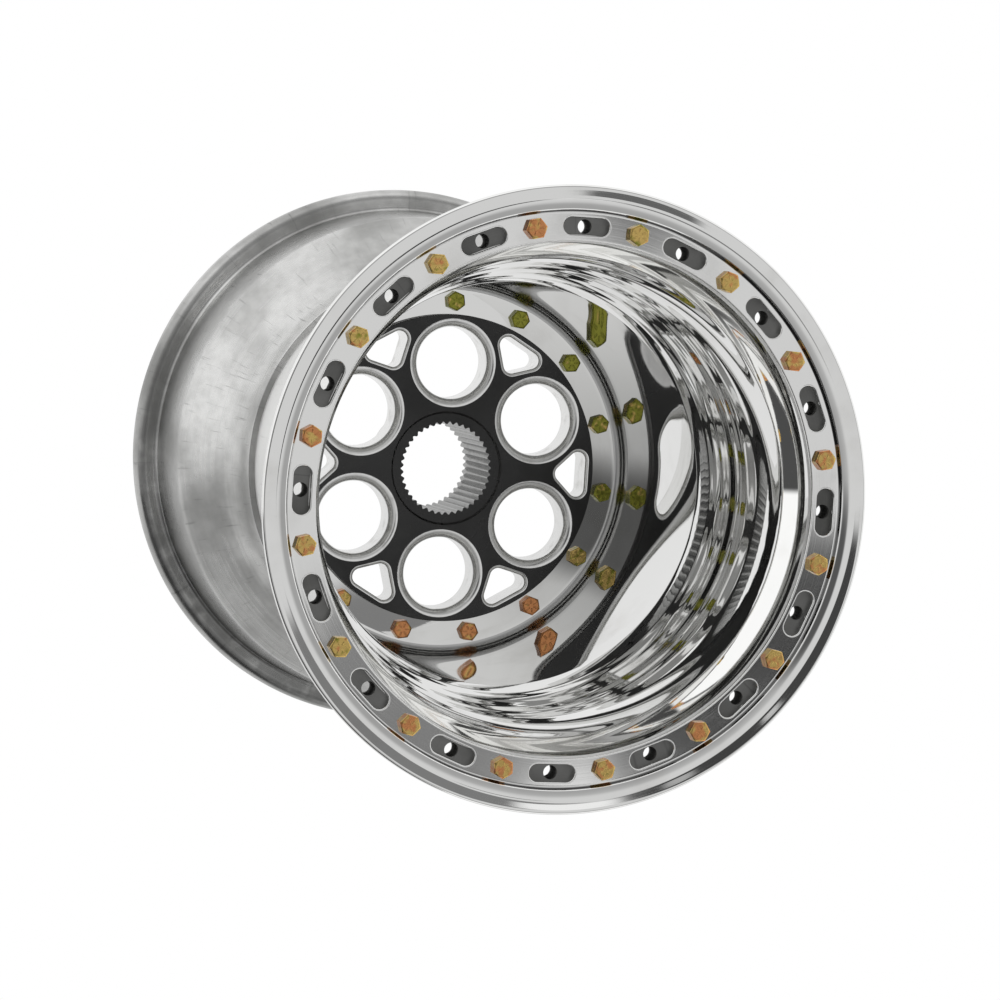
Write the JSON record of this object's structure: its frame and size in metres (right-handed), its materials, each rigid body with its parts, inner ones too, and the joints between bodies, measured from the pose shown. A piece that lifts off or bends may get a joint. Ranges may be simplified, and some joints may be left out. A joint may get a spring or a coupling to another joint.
{
  "type": "sprint car wheel",
  "caption": "Three-piece sprint car rear wheel: spun halves bolted to a black splined centre with round windows, and a bolted bead lock ring on the polished outer half.",
  "frame": {"origin": "centre of the inner rim's back edge, on the axle's line", "axes": "+Z along the axle towards the bead lock face; +X through a bead lock bolt"},
  "size_m": [0.414, 0.414, 0.461],
  "materials": {
    "black_anodised": "satin black with bare bevels, windows and spline",
    "polished_aluminium": "mirror polished",
    "raw_aluminium": "satin, as spun, with handling scuffs",
    "machined_aluminium": "as turned",
    "yellow_zinc": "yellow chromate zinc with a green and pink cast",
    "rubber": "matt",
    "nickel_brass": "nickel plated",
    "black_plastic": "moulded"
  },
  "bodies": {
    "root": {"wheel_centre": "black_anodised", "outer_half": "polished_aluminium", "inner_half": "raw_aluminium", "joint_seal": "rubber", "beadlock_base_ring": "machined_aluminium", "base_ring_weld": "machined_aluminium", "beadlock_ring": "polished_aluminium", "beadlock_bolts": "yellow_zinc", "centre_bolts": "yellow_zinc", "centre_washers": "yellow_zinc", "centre_nuts": "yellow_zinc", "valve_stem": "nickel_brass", "valve_seal": "rubber", "valve_washer": "nickel_brass", "valve_nut": "nickel_brass", "valve_cap": "black_plastic"}
  },
  "joints": []
}
